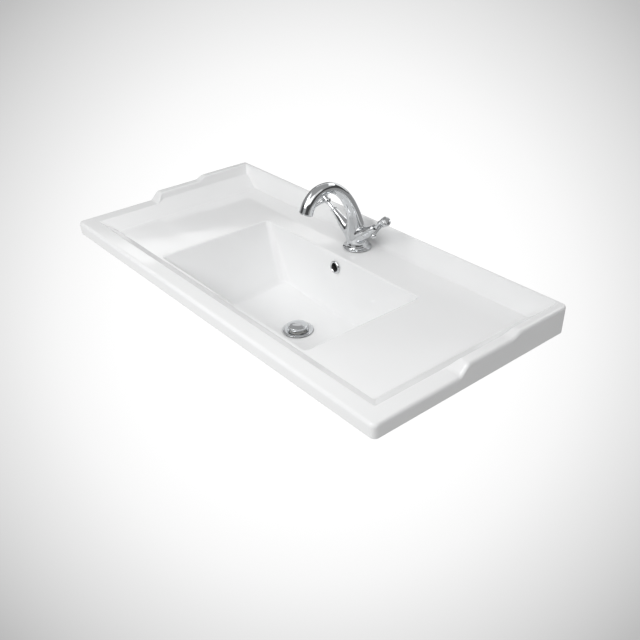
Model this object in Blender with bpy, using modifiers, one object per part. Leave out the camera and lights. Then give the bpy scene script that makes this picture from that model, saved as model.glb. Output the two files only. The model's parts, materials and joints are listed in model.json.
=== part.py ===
"""Wide vanity basin with a one-hole swan-neck mixer and a click-clack waste.

Metres, +Z up. The origin is the centre of the flat back face that goes against the wall:
+X is to the user's right, +Y points into the wall.
"""
from math import asin, cos, pi, radians, sin

import bmesh
import bpy
from mathutils import Matrix, Vector

GAP = 0.0003

# Basin
WIDTH = 1.000
DEPTH = 0.470
APRON_BOTTOM_Z = -0.0276
RIM_FRONT_Z = 0.0014
RIM_STEPS = ((-0.2820, -0.2569, 0.0185), (-0.1542, -0.1282, 0.0077))
CERAMIC = 0.009
DECK_Z = -0.0193
DECK_UNDER_Z = -0.0266
TRAY_HALF_X = 0.430
TRAY_SLOPE = 0.62
UPSTAND_FOOT_Z = 0.0065
TRAY_FRONT_Y = -0.4055
TRAY_BACK_Y = -0.0205
RIM_INNER_FRONT_Y = -0.4355
RIM_INNER_BACK_Y = -0.0069
BOWL_HALF_X = 0.2463
BOWL_FRONT_Y = -0.4000
BOWL_BACK_Y = -0.1153
FLOOR_HALF_X = 0.1808
FLOOR_FRONT_Y = -0.3400
FLOOR_BACK_Y = -0.1232
FLOOR_EDGE_Z = -0.1464
FLOOR_RISE = (0.004, 0.002, 0.009)
CORNER_POINTS = 5
FRONT_FRACTIONS = (-0.8, -0.4, 0.0, 0.4, 0.8)
SIDE_Y = (-0.36, -0.282, -0.2757, -0.2695, -0.2632, -0.2569, -0.205,
          -0.1542, -0.1477, -0.1412, -0.1347, -0.1282, -0.10, -0.06)

# Waste
WASTE_Y = -0.2262
WASTE_Z = -0.1622
WASTE_BORE_R = 0.0235
BOSS_R = 0.036
BOSS_BOTTOM_Z = -0.1920
FLANGE_R = 0.0335
TUBE_R = 0.0215
PLUG_R = 0.0215
SPRING_R = 0.0052
SPRING_WIRE_R = 0.0006

# Overflow
OVERFLOW_Z = -0.0469
OVERFLOW_Y = -0.1178
OVERFLOW_R = 0.0120
DUCT_R = 0.0075
DUCT_WALL = 0.0050
DUCT_EXIT_Z = -0.1790

# Tap
TAP_Y = -0.0552
TAP_HOLE_R = 0.0175
BASE_R = 0.0312
BASE_TOP_Z = -0.0095
SPOUT_STATIONS = (
    (-0.1945, 0.0985, 0.0148), (-0.1850, 0.1180, 0.0140), (-0.1670, 0.1345, 0.0128),
    (-0.1430, 0.1396, 0.0121), (-0.1190, 0.1340, 0.0117), (-0.0970, 0.1170, 0.0119),
    (-0.0795, 0.0930, 0.0130), (-0.0665, 0.0640, 0.0150), (-0.0605, 0.0380, 0.0186),
    (-0.0573, 0.0140, 0.0222), (-0.0558, 0.0000, 0.0243), (-0.0555, -0.0080, 0.0266),
    (-0.0555, -0.0160, 0.0300))
MOUTH_BORE_R = 0.0105
MOUTH_BORE_DEPTH = 0.012
VALVE_ORIGIN = Vector((0.0, -0.0600, 0.0030))
VALVE_RISE = radians(36.5)
VALVE_SWEEP = radians(4.5)
BRANCH_END = 0.0440
BRANCH = ((0.0080, 0.0165), (0.0300, 0.0142), (BRANCH_END, 0.0124))
VALVE_BORE_R = 0.0085
CARTRIDGE_END = 0.0550
BONNET_END = 0.0838
HUB_START = 0.1000
HUB_END = 0.1205
CAP_END = 0.1305
LEVER_AT = 0.1105
LEVER_REACH = 0.0350
LEVER_AIM = Vector((0.0, -0.87, -0.60))
SPINDLE_R = 0.0042
SIDES = ((-1.0, "hot"), (1.0, "cold"))
FIXING_TOP_Z = 0.0035
FIXINGS = (("fixing_stud", 0.0, -0.0430, 0.0040), ("hot_inlet", -0.0085, -0.0620, 0.0050),
           ("cold_inlet", 0.0085, -0.0620, 0.0050))

CERAMIC_WHITE = (0.86, 0.87, 0.88, 1.0)
CHROME = (0.80, 0.81, 0.82, 1.0)
BRASS = (0.66, 0.48, 0.20, 1.0)
RUBBER = (0.03, 0.03, 0.032, 1.0)
WHITE_PLASTIC = (0.80, 0.80, 0.78, 1.0)
STEEL = (0.55, 0.55, 0.56, 1.0)


def clear_scene():
    for item in list(bpy.data.objects):
        bpy.data.objects.remove(item, do_unlink=True)


def new_collection(name):
    collection = bpy.data.collections.new(name)
    bpy.context.scene.collection.children.link(collection)
    return collection


def material(name, colour, roughness, metallic):
    mat = bpy.data.materials.new(name)
    mat.use_nodes = True
    shader = mat.node_tree.nodes["Principled BSDF"]
    shader.inputs["Base Color"].default_value = colour
    shader.inputs["Roughness"].default_value = roughness
    shader.inputs["Metallic"].default_value = metallic
    mat.diffuse_color = colour
    return mat


def add_object(name, mesh, look=None, collection=None, parent=None):
    """Link a mesh as one named piece, or as a hidden cutter when it has no look."""
    item = bpy.data.objects.new(name, mesh)
    (collection or PARTS).objects.link(item)
    if look:
        mesh.materials.append(material(name, *look))
    else:
        item.hide_render = True
        item.display_type = 'WIRE'
    item.parent = parent
    return item


def smooth(item, angle=35.0):
    item.data.shade_smooth()
    item.data.set_sharp_from_angle(angle=radians(angle))


def mesh_from(name, points, edges=(), faces=()):
    mesh = bpy.data.meshes.new(name)
    mesh.from_pydata([tuple(p) for p in points], edges, faces)
    mesh.update()
    return mesh


def turned(name, profile, look, steps=24, ring=False, collection=None, parent=None):
    """Turn an (r, z) profile about the local Z axis with a Screw modifier."""
    points = [(r, 0.0, z) for r, z in profile]
    edges = [(i, i + 1) for i in range(len(points) - 1)]
    if ring:
        edges.append((len(points) - 1, 0))
    item = add_object(name, mesh_from(name, points, edges), look, collection, parent)
    screw = item.modifiers.new("Screw", 'SCREW')
    screw.axis = 'Z'
    screw.steps = steps
    screw.render_steps = steps
    screw.use_merge_vertices = True
    screw.merge_threshold = 0.00001
    screw.use_smooth_shade = True
    return item


def cylinder(name, radius, bottom, top, look=None, collection=None, parent=None, sides=24):
    mesh = bpy.data.meshes.new(name)
    shape = bmesh.new()
    bmesh.ops.create_cone(shape, cap_ends=True, segments=sides, radius1=radius,
                          radius2=radius, depth=top - bottom)
    bmesh.ops.translate(shape, verts=shape.verts, vec=(0.0, 0.0, (top + bottom) / 2))
    shape.to_mesh(mesh)
    shape.free()
    return add_object(name, mesh, look, collection, parent)


def boolean(item, cutter, operation='DIFFERENCE'):
    step = item.modifiers.new(cutter.name, 'BOOLEAN')
    step.operation = operation
    step.object = cutter
    step.solver = 'EXACT'


def swept(name, stations, look=None, collection=None, resolution=4):
    """A round tube along (x, y, z, radius) stations, as a closed mesh."""
    curve = bpy.data.curves.new(name, 'CURVE')
    curve.dimensions = '3D'
    curve.bevel_depth = 1.0
    curve.bevel_resolution = resolution
    curve.use_fill_caps = True
    spline = curve.splines.new('POLY')
    spline.points.add(len(stations) - 1)
    for point, (x, y, z, radius) in zip(spline.points, stations):
        point.co = (x, y, z, 1.0)
        point.radius = radius
    guide = bpy.data.objects.new(name + "_path", curve)
    CUTTERS.objects.link(guide)
    evaluated = guide.evaluated_get(bpy.context.evaluated_depsgraph_get())
    mesh = bpy.data.meshes.new_from_object(evaluated)
    shape = bmesh.new()
    shape.from_mesh(mesh)
    bmesh.ops.remove_doubles(shape, verts=shape.verts, dist=0.00001)
    bmesh.ops.recalc_face_normals(shape, faces=shape.faces)
    shape.to_mesh(mesh)
    shape.free()
    mesh.materials.clear()
    item = add_object(name, mesh, look, collection)
    item.matrix_world = guide.matrix_world
    bpy.data.objects.remove(guide, do_unlink=True)
    return item


def smooth_stations(stations, steps=4):
    """Catmull-Rom points through the stations, with the ends carried on straight."""
    rows = [Vector(row) for row in stations]
    rows = [rows[0] * 2 - rows[1]] + rows + [rows[-1] * 2 - rows[-2]]
    points = []
    for a, b, c, d in zip(rows, rows[1:], rows[2:], rows[3:]):
        for i in range(steps):
            t = i / steps
            points.append((b * 2 + (c - a) * t + (a * 2 - b * 5 + c * 4 - d) * t * t
                           + (b * 3 - a - c * 3 + d) * t ** 3) / 2)
    points.append(rows[-2])
    return points


def axis_empty(name, location, direction):
    """An empty whose local Z is the direction, so that turned pieces stand on an axis."""
    empty = bpy.data.objects.new(name, None)
    PARTS.objects.link(empty)
    turn = direction.to_track_quat('Z', 'Y').to_matrix().to_4x4()
    empty.matrix_world = Matrix.Translation(location) @ turn
    bpy.context.view_layer.update()
    return empty


# ---------------------------------------------------------------- basin

def ease(t):
    t = min(max(t, 0.0), 1.0)
    return t * t * (3.0 - 2.0 * t)


def rim_z(y):
    """Top of the rim: level at the front, then two ogee steps up towards the wall."""
    return RIM_FRONT_Z + sum(rise * ease((y - a) / (b - a)) for a, b, rise in RIM_STEPS)


def slope_x(z):
    """Half width of the tray's sloping sides at a height."""
    return TRAY_HALF_X + (z - DECK_Z) / TRAY_SLOPE


def rim_inner_x(y):
    """Inner edge of the side rims' top, where the raised upstands are thinner."""
    raised = rim_z(y) - RIM_FRONT_Z
    return slope_x(RIM_FRONT_Z) + 0.74 * min(raised, 0.0185) + 0.45 * max(raised - 0.0185, 0.0)


def upstand_foot_z(y):
    """Height where the steep inner face of the upstands meets the tray's slope."""
    start, end, _ = RIM_STEPS[0]
    front = RIM_FRONT_Z - 0.0008
    return front + (UPSTAND_FOOT_Z - front) * ease((y - start) / (end - start))


def cavity_z(y):
    """Roof of the hollow under the side and front rims, closed down before the wall."""
    closed = ease((y + 0.115) / 0.055)
    return (RIM_FRONT_Z - CERAMIC) * (1.0 - closed) + DECK_UNDER_Z * closed


def soft(t):
    """Absolute value with a rounded foot."""
    return (t * t + 0.01) ** 0.5 - 0.1


def floor_z(x, y):
    """The bowl's floor: almost level by the waste and rising into the four corners."""
    reach = FLOOR_BACK_Y - WASTE_Y if y > WASTE_Y else WASTE_Y - FLOOR_FRONT_Y
    u = soft(x / FLOOR_HALF_X)
    v = soft((y - WASTE_Y) / reach)
    return WASTE_Z + FLOOR_RISE[0] * u + FLOOR_RISE[1] * v + FLOOR_RISE[2] * u * v


def loop(half_x, front, back, radius, z, side_y=None):
    """One loop of the basin, anticlockwise from the front side's left end.

    half_x and z are numbers or functions of y. side_y gives the side points' own y, and
    without it they are spread in the same proportions as SIDE_Y.
    """
    wide = half_x if callable(half_x) else lambda y: half_x
    high = z if callable(z) else lambda y: z
    low, top = front + radius, back - radius
    if side_y is None:
        first, last = SIDE_Y[0], SIDE_Y[-1]
        side_y = [low + (top - low) * (0.06 + 0.88 * (y - first) / (last - first))
                  for y in SIDE_Y]
    arcs = [pi / 2 * i / (CORNER_POINTS - 1) for i in range(CORNER_POINTS)]
    half = []
    half += [(wide(low) - radius + radius * sin(a), low - radius * cos(a)) for a in arcs]
    half += [(wide(y), y) for y in side_y]
    half += [(wide(top) - radius + radius * cos(a), top + radius * sin(a)) for a in arcs]
    across = wide(low) - radius
    points = [(across * f, front) for f in FRONT_FRACTIONS]
    points += half
    across = wide(top) - radius
    points += [(-across * f, back) for f in FRONT_FRACTIONS]
    points += [(-x, y) for x, y in reversed(half)]
    return [Vector((x, y, high(y))) for x, y in points]


def circle_loop(radius, z, centre_y=WASTE_Y):
    """A round loop with the same number of points as loop(), in the same order."""
    count = len(SIDE_Y)
    quarter = radians(30.0)
    angles = [-pi / 2 + quarter * f for f in FRONT_FRACTIONS]
    corner = [quarter * i / (CORNER_POINTS - 1) for i in range(CORNER_POINTS)]
    half = [-pi / 2 + quarter * 1.15 + 0.7 * a for a in corner]
    half += [quarter * 0.9 * (2.0 * i / (count - 1) - 1.0) for i in range(count)]
    half += [pi / 2 - quarter * 1.15 - 0.7 * a for a in reversed(corner)]
    angles += half
    angles += [pi / 2 + quarter * f for f in FRONT_FRACTIONS]
    angles += [pi - a for a in reversed(half)]
    return [Vector((radius * cos(a), centre_y + radius * sin(a), z)) for a in angles]


def blend(first, second, t, lift=0.0):
    """Points part way between two loops in plan, set on the bowl's floor plus lift."""
    plan = [a.xy * (1 - t) + b.xy * t for a, b in zip(first, second)]
    return [Vector((*p, floor_z(*p) + lift)) for p in plan]


def wall_loop(top, foot, lift):
    """Points on the walls between two loops, at the floor's own height plus lift."""
    points = []
    for a, b in zip(top, foot):
        z = floor_z(b.x, b.y) + lift
        points.append(a.lerp(b, (z - a.z) / (b.z - a.z)))
    return points


def bowl_loop(t, grow=0.0):
    """The bowl's inside wall at depth fraction t, moved outward by grow."""
    mix = lambda a, b: a + (b - a) * t
    return (mix(BOWL_HALF_X, FLOOR_HALF_X) + grow, mix(BOWL_FRONT_Y, FLOOR_FRONT_Y) - grow,
            mix(BOWL_BACK_Y, FLOOR_BACK_Y) + grow, mix(0.010, 0.022) + grow)


def basin_loops():
    half = WIDTH / 2
    front = -DEPTH
    # Outside, up the apron and over the rounded edge on to the rim's flat top.
    loops = [loop(half - 0.0015, front + 0.0013, 0.0, 0.010, APRON_BOTTOM_Z, SIDE_Y)]
    for inset, back_inset, drop in ((0.0, 0.0, 0.0065), (0.0019, 0.0006, 0.0019),
                                    (0.0065, 0.0021, 0.0)):
        loops.append(loop(half - inset, front + inset, -back_inset, 0.010 - inset,
                          lambda y, d=drop: rim_z(y) - d, SIDE_Y))
    # Down the upstands' inner face and the slope to the sunk deck.
    loops.append(loop(rim_inner_x, RIM_INNER_FRONT_Y, RIM_INNER_BACK_Y, 0.003, rim_z, SIDE_Y))
    loops.append(loop(lambda y: slope_x(upstand_foot_z(y)), RIM_INNER_FRONT_Y + 0.0014, -0.0130,
                      0.004, upstand_foot_z, SIDE_Y))
    loops.append(loop(TRAY_HALF_X + 0.003, TRAY_FRONT_Y - 0.0025, TRAY_BACK_Y + 0.001, 0.005,
                      DECK_Z + 0.0018, SIDE_Y))
    loops.append(loop(TRAY_HALF_X - 0.001, TRAY_FRONT_Y, TRAY_BACK_Y, 0.006, DECK_Z, SIDE_Y))
    # Over the bowl's edge and down its walls.
    loops.append(loop(BOWL_HALF_X + 0.004, BOWL_FRONT_Y - 0.003, BOWL_BACK_Y + 0.004, 0.012,
                      DECK_Z))
    for t, z in ((0.01, DECK_Z - 0.004), (0.30, -0.058), (0.60, -0.096), (0.86, -0.130)):
        loops.append(loop(*bowl_loop(t), z))
    half_x, low, high, radius = bowl_loop(1.0)
    foot = loop(half_x, low, high, radius, FLOOR_EDGE_Z)
    loops.append(wall_loop(loops[-1], foot, 0.0060))
    for inset, lift in ((0.002, 0.0020), (0.007, 0.0004)):
        inner = loop(half_x - inset, low + inset, high - inset, radius, FLOOR_EDGE_Z)
        loops.append([Vector((*p.xy, floor_z(*p.xy) + lift)) for p in inner])
    edge = loops[-1]
    rim = circle_loop(0.036, WASTE_Z)
    for t in (0.35, 0.70, 1.0):
        loops.append(blend(edge, rim, t))
    # The flange's seat, the waste's bore and the boss round it.
    loops.append(circle_loop(0.0345, WASTE_Z))
    loops.append(circle_loop(WASTE_BORE_R, WASTE_Z - 0.002))
    loops.append(circle_loop(WASTE_BORE_R, BOSS_BOTTOM_Z))
    loops.append(circle_loop(BOSS_R, BOSS_BOTTOM_Z))
    boss = circle_loop(BOSS_R + 0.003, WASTE_Z - CERAMIC - 0.003)
    loops.append(boss)
    # Underside of the floor, the walls and the deck.
    outer = loop(half_x - 0.006, low + 0.006, high - 0.006, radius, FLOOR_EDGE_Z)
    loops.append(blend(boss, outer, 0.5, -CERAMIC - 0.001))
    loops.append(blend(boss, outer, 1.0, -CERAMIC))
    skirt = loop(half_x + 0.008, low - 0.008, high + 0.008, radius + 0.006, FLOOR_EDGE_Z)
    loops.append([Vector((*p.xy, floor_z(*p.xy) - 0.0015)) for p in skirt])
    for t, z in ((0.86, -0.130), (0.55, -0.090), (0.10, -0.034)):
        loops.append(loop(*bowl_loop(t, CERAMIC + 0.001), z))
    loops.append(loop(BOWL_HALF_X + 0.013, BOWL_FRONT_Y - 0.008, BOWL_BACK_Y + 0.013, 0.02,
                      DECK_UNDER_Z))
    # The hollow under the rim, and back to the apron's foot.
    loops.append(loop(TRAY_HALF_X + 0.005, TRAY_FRONT_Y - 0.0065, TRAY_BACK_Y - 0.004, 0.008,
                      DECK_UNDER_Z, SIDE_Y))
    loops.append(loop(TRAY_HALF_X + 0.036, RIM_INNER_FRONT_Y - 0.008, TRAY_BACK_Y - 0.0025,
                      0.006, cavity_z, SIDE_Y))
    loops.append(loop(half - CERAMIC, front + CERAMIC, TRAY_BACK_Y - 0.001, 0.005,
                      lambda y: cavity_z(y) - 0.0004, SIDE_Y))
    loops.append(loop(half - CERAMIC - 0.0005, front + CERAMIC + 0.0005, TRAY_BACK_Y, 0.005,
                      APRON_BOTTOM_Z, SIDE_Y))
    return loops


def duct_path():
    """Centre line of the overflow duct, down behind the bowl and under its floor."""
    behind = DUCT_R + DUCT_WALL + 0.0045
    return [(0.0, OVERFLOW_Y + behind, OVERFLOW_Z + 0.002), (0.0, OVERFLOW_Y + behind, -0.075),
            (0.0, FLOOR_BACK_Y + behind, -0.140), (0.0, FLOOR_BACK_Y + behind - 0.006, -0.160),
            (0.0, FLOOR_BACK_Y - 0.006, -0.1745), (0.0, -0.160, DUCT_EXIT_Z),
            (0.0, WASTE_Y + 0.022, DUCT_EXIT_Z)]


def make_basin():
    loops = basin_loops()
    size = len(loops[0])
    faces = []
    for i in range(len(loops)):
        a, b = i * size, (i + 1) % len(loops) * size
        for j in range(size):
            k = (j + 1) % size
            faces.append((a + j, b + j, b + k, a + k))
    mesh = mesh_from("basin", [p for ring in loops for p in ring], (), faces)
    shape = bmesh.new()
    shape.from_mesh(mesh)
    bmesh.ops.recalc_face_normals(shape, faces=shape.faces)
    shape.to_mesh(mesh)
    shape.free()
    basin = add_object("basin", mesh, (CERAMIC_WHITE, 0.08, 0.0))
    path = duct_path()
    outer = DUCT_R + DUCT_WALL
    housing = [(x, y, z, outer) for x, y, z in path]
    housing[0] = (0.0, path[0][1], OVERFLOW_Z + 0.014, outer)
    housing[-1] = (0.0, WASTE_Y + 0.030, path[-1][2], outer)
    boolean(basin, swept("overflow_housing", housing, collection=CUTTERS, resolution=3), 'UNION')
    channel = [(x, y, z, DUCT_R) for x, y, z in path]
    boolean(basin, swept("overflow_channel", channel, collection=CUTTERS, resolution=3))
    hole = cylinder("overflow_hole", OVERFLOW_R, -0.014, 0.0135, collection=CUTTERS, sides=24)
    hole.location = (0.0, OVERFLOW_Y, OVERFLOW_Z)
    hole.rotation_euler = (-pi / 2, 0.0, 0.0)
    boolean(basin, hole)
    tap_hole = cylinder("tap_hole", TAP_HOLE_R, -0.05, 0.02, collection=CUTTERS, sides=32)
    tap_hole.location = (0.0, TAP_Y, 0.0)
    boolean(basin, tap_hole)
    smooth(basin, 28.0)
    ring = turned("overflow_ring", (
        (0.0098, 0.0026), (0.0122, 0.0030), (0.0138, 0.0022), (0.0143, 0.0004),
        (0.0115, 0.0003), (0.0115, -0.0070), (0.0100, -0.0070)),
        (CHROME, 0.12, 1.0), ring=True)
    wall_lean = (BOWL_BACK_Y - FLOOR_BACK_Y) / (DECK_Z - FLOOR_EDGE_Z)
    ring.location = (0.0, OVERFLOW_Y - 0.0010, OVERFLOW_Z)
    ring.rotation_euler = (pi / 2 - wall_lean, 0.0, 0.0)


# ---------------------------------------------------------------- waste

def make_waste():
    """Flanged waste in the bowl's bore, clamped from below, with a push plug.

    The profiles' heights are measured from the flange's seat.
    """
    def place(item):
        item.location = (0.0, WASTE_Y, WASTE_Z)
        return item

    boss = BOSS_BOTTOM_Z - WASTE_Z
    body = place(turned("waste_flange", (
        (0.0240, 0.0030), (0.0275, 0.0044), (0.0315, 0.0042), (FLANGE_R, 0.0030),
        (FLANGE_R, 0.0018), (0.0235, 0.0006), (TUBE_R, -0.0030), (TUBE_R, boss - 0.050),
        (0.0190, boss - 0.050), (0.0190, -0.0015), (0.0225, 0.0010)),
        (CHROME, 0.10, 1.0), 32, ring=True))
    window = cylinder("waste_windows", 0.0065, -0.03, 0.03, collection=CUTTERS, sides=16)
    window.location = (0.0, WASTE_Y, DUCT_EXIT_Z)
    window.rotation_euler = (pi / 2, 0.0, 0.0)
    boolean(body, window)
    place(turned("waste_top_seal", (
        (0.0240, 0.00033), (0.0325, 0.00137), (0.0325, -0.0001), (0.0240, -0.0016)),
        (RUBBER, 0.7, 0.0), ring=True))
    low = boss - GAP
    place(turned("waste_lower_seal", (
        (0.0222, low), (0.0330, low), (0.0330, low - 0.003), (0.0285, low - 0.008),
        (0.0222, low - 0.008)), (RUBBER, 0.7, 0.0), ring=True))
    low -= 0.008 + GAP
    place(turned("waste_slip_washer", (
        (0.0222, low), (0.0300, low), (0.0300, low - 0.0012), (0.0222, low - 0.0012)),
        (WHITE_PLASTIC, 0.35, 0.0), ring=True))
    low -= 0.0012 + GAP
    nut = place(cylinder("waste_backnut", 0.0330, low - 0.009, low, (BRASS, 0.30, 1.0), sides=6))
    boolean(nut, place(cylinder("backnut_bore", TUBE_R + GAP, low - 0.02, low + 0.01,
                                collection=CUTTERS)))

    # A cup with a flange across the waste's throat holds the plug's spring and stem.
    top, floor = -0.0020, -0.0300
    cup = place(turned("waste_cartridge", (
        (0.0, floor + 0.0025), (0.0075, floor + 0.0025), (0.0075, top - 0.003),
        (0.0046, top - 0.003), (0.0046, top), (0.0080, top), (0.0080, top - 0.003),
        (0.0187, top - 0.003), (0.0187, top - 0.0055), (0.0095, top - 0.0055),
        (0.0095, floor), (0.0, floor)), (WHITE_PLASTIC, 0.35, 0.0)))
    for i in range(6):
        hole = cylinder("cartridge_hole", 0.0035, top - 0.010, top, collection=CUTTERS, sides=12)
        hole.location = (0.0138 * cos(i * pi / 3), WASTE_Y + 0.0138 * sin(i * pi / 3), WASTE_Z)
        boolean(cup, hole)
    dome = 0.0105
    place(turned("plug_cap", (
        (0.0, dome + 0.0070), (0.0100, dome + 0.0065), (0.0165, dome + 0.0050),
        (0.0203, dome + 0.0030), (PLUG_R, dome + 0.0012), (0.0208, dome), (0.0, dome)),
        (CHROME, 0.08, 1.0), 32))
    place(turned("plug_seal", (
        (0.0150, dome - GAP), (0.0182, dome - GAP), (0.0185, dome - 0.0018),
        (0.0172, dome - 0.0032), (0.0150, dome - 0.0032)), (RUBBER, 0.7, 0.0), ring=True))
    collar = top - 0.0035
    place(turned("plug_stem", (
        (0.0, dome - GAP), (0.0040, dome - GAP), (0.0040, collar), (0.0068, collar),
        (0.0068, collar - 0.0025), (0.0, collar - 0.0025)), (WHITE_PLASTIC, 0.35, 0.0), 16))
    high, low = collar - 0.0025 - GAP - SPRING_WIRE_R, floor + 0.0025 + GAP + SPRING_WIRE_R
    turns, per_turn = 5, 10
    coil = []
    for i in range(turns * per_turn + 1):
        angle = 2 * pi * i / per_turn
        height = WASTE_Z + low + (high - low) * i / (turns * per_turn)
        coil.append((SPRING_R * cos(angle), WASTE_Y + SPRING_R * sin(angle), height,
                     SPRING_WIRE_R))
    swept("waste_spring", coil, (STEEL, 0.30, 1.0), resolution=1)


# ---------------------------------------------------------------- tap

def valve_axis(side):
    return Vector((side * cos(VALVE_RISE) * cos(VALVE_SWEEP), -cos(VALVE_RISE) * sin(VALVE_SWEEP),
                   sin(VALVE_RISE)))


def make_tap_body():
    path = smooth_stations([(0.0, y, z, r) for y, z, r in SPOUT_STATIONS])
    body = swept("tap_body", path, (CHROME, 0.07, 1.0), resolution=5)
    for side, hand in SIDES:
        axis = valve_axis(side)
        ends = [(*(VALVE_ORIGIN + axis * s), r) for s, r in BRANCH]
        boolean(body, swept(hand + "_branch", ends, collection=CUTTERS, resolution=5), 'UNION')
    mouth = path[0].xyz
    inward = (path[1].xyz - mouth).normalized()
    upward = Vector((0.0, 0.0, 1.0))
    bores = [(mouth, inward, MOUTH_BORE_R, -0.02, MOUTH_BORE_DEPTH),
             (Vector((0.0, TAP_Y, 0.0)), upward, 2 * BASE_R, -0.05, BASE_TOP_Z + GAP)]
    bores += [(VALVE_ORIGIN, valve_axis(side), VALVE_BORE_R, 0.030, 0.055) for side, _ in SIDES]
    bores += [(Vector((x, y, 0.0)), upward, r + GAP, -0.05, FIXING_TOP_Z + GAP)
              for _, x, y, r in FIXINGS]
    for number, (origin, axis, radius, start, end) in enumerate(bores):
        cutter = cylinder("tap_bore_%d" % number, radius, start, end, collection=CUTTERS, sides=20)
        cutter.parent = axis_empty("tap_bore_axis_%d" % number, origin, axis)
        boolean(body, cutter)
    smooth(body, 40.0)

    outlet = axis_empty("outlet_axis", mouth, inward)
    turned("aerator_ring", (
        (0.0080, 0.0080), (0.0102, 0.0080), (0.0102, -0.0003), (0.0124, -0.0003),
        (0.0124, -0.0012), (0.0112, -0.0020), (0.0080, -0.0020)), (CHROME, 0.12, 1.0),
        ring=True, parent=outlet)
    insert = turned("aerator_insert", (
        (0.0, 0.0060), (0.0077, 0.0060), (0.0077, 0.0004), (0.0062, 0.0), (0.0, 0.0)),
        (WHITE_PLASTIC, 0.4, 0.0), parent=outlet)
    for i in range(6):
        jet = cylinder("aerator_jet", 0.0013, -0.01, 0.02, collection=CUTTERS, sides=8)
        jet.parent = outlet
        jet.location = (0.0045 * cos(i * pi / 3), 0.0045 * sin(i * pi / 3), 0.0)
        boolean(insert, jet)


def make_tap_base():
    low = DECK_Z + GAP
    gasket = turned("tap_gasket", (
        (0.0210, low + 0.0012), (0.0285, low + 0.0012), (0.0285, low), (0.0210, low)),
        (RUBBER, 0.7, 0.0), 32, ring=True)
    gasket.location = (0.0, TAP_Y, 0.0)
    low += 0.0012 + GAP
    ring = turned("tap_base_ring", (
        (0.0205, BASE_TOP_Z), (0.0280, BASE_TOP_Z), (0.0300, BASE_TOP_Z - 0.0016),
        (BASE_R, BASE_TOP_Z - 0.0042), (BASE_R, low), (0.0205, low)),
        (CHROME, 0.08, 1.0), 40, ring=True)
    ring.location = (0.0, TAP_Y, 0.0)


def make_valve(side, hand):
    """Cartridge and bell bonnet on the body, and the turning spindle, hub, lever and cap."""
    axis = valve_axis(side)
    stand = axis_empty(hand + "_valve_axis", VALVE_ORIGIN, axis)
    turned(hand + "_cartridge", (
        (0.0, CARTRIDGE_END), (VALVE_BORE_R - GAP, CARTRIDGE_END), (VALVE_BORE_R - GAP, 0.0303),
        (0.0, 0.0303)), (BRASS, 0.35, 1.0), 20, parent=stand)
    start = BRANCH_END + GAP
    turned(hand + "_bonnet", (
        (0.0046, BONNET_END), (0.0066, BONNET_END), (0.0077, BONNET_END - 0.0011),
        (0.0077, BONNET_END - 0.0029), (0.0061, BONNET_END - 0.0041),
        (0.0061, BONNET_END - 0.0053), (0.0071, BONNET_END - 0.0066), (0.0076, 0.0725),
        (0.0085, 0.0650), (0.0099, 0.0575), (0.0112, 0.0515), (0.0121, 0.0465),
        (0.0124, start), (VALVE_BORE_R + GAP, start), (VALVE_BORE_R + GAP, CARTRIDGE_END + GAP),
        (0.0046, 0.0600)), (CHROME, 0.08, 1.0), 28, ring=True, parent=stand)
    turned(hand + "_spindle", (
        (0.0, HUB_END), (SPINDLE_R, HUB_END), (SPINDLE_R, CARTRIDGE_END + GAP),
        (0.0, CARTRIDGE_END + GAP)), (CHROME, 0.15, 1.0), 16, parent=stand)
    bore = SPINDLE_R + GAP
    profile = [(bore, HUB_END), (0.0077, HUB_END)]
    for i in range(3):
        top = HUB_END - 0.0006 - i * 0.0022
        profile += [(0.0088, top - 0.0004), (0.0088, top - 0.0014), (0.0079, top - 0.0019)]
    profile += [(0.0084, HUB_START + 0.0075), (0.0080, HUB_START + 0.0045),
                (0.0068, HUB_START + 0.0018), (0.0056, HUB_START), (bore, HUB_START)]
    turned(hand + "_hub", profile, (CHROME, 0.08, 1.0), 24, ring=True, parent=stand)
    low = HUB_END + GAP
    turned(hand + "_index_cap", (
        (0.0, CAP_END), (0.0078, CAP_END - 0.0005), (0.0096, CAP_END - 0.0014),
        (0.0104, CAP_END - 0.0034), (0.0104, low + 0.0012), (0.0094, low), (0.0, low)),
        (CHROME, 0.08, 1.0), 24, parent=stand)
    reach = LEVER_AIM - axis * LEVER_AIM.dot(axis)
    arm = axis_empty(hand + "_lever_axis", VALVE_ORIGIN + axis * LEVER_AT, reach)
    ball, centre = 0.0056, LEVER_REACH
    profile = [(0.0, centre + ball)]
    profile += [(ball * sin(radians(a)), centre + ball * cos(radians(a)))
                for a in (25, 50, 75, 100, 125)]
    profile += [(0.0029, centre - 0.0065), (0.0034, 0.0160), (0.0044, 0.0105), (0.0044, 0.0092),
                (0.0, 0.0092)]
    turned(hand + "_lever", profile, (CHROME, 0.08, 1.0), 20, parent=arm)


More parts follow.
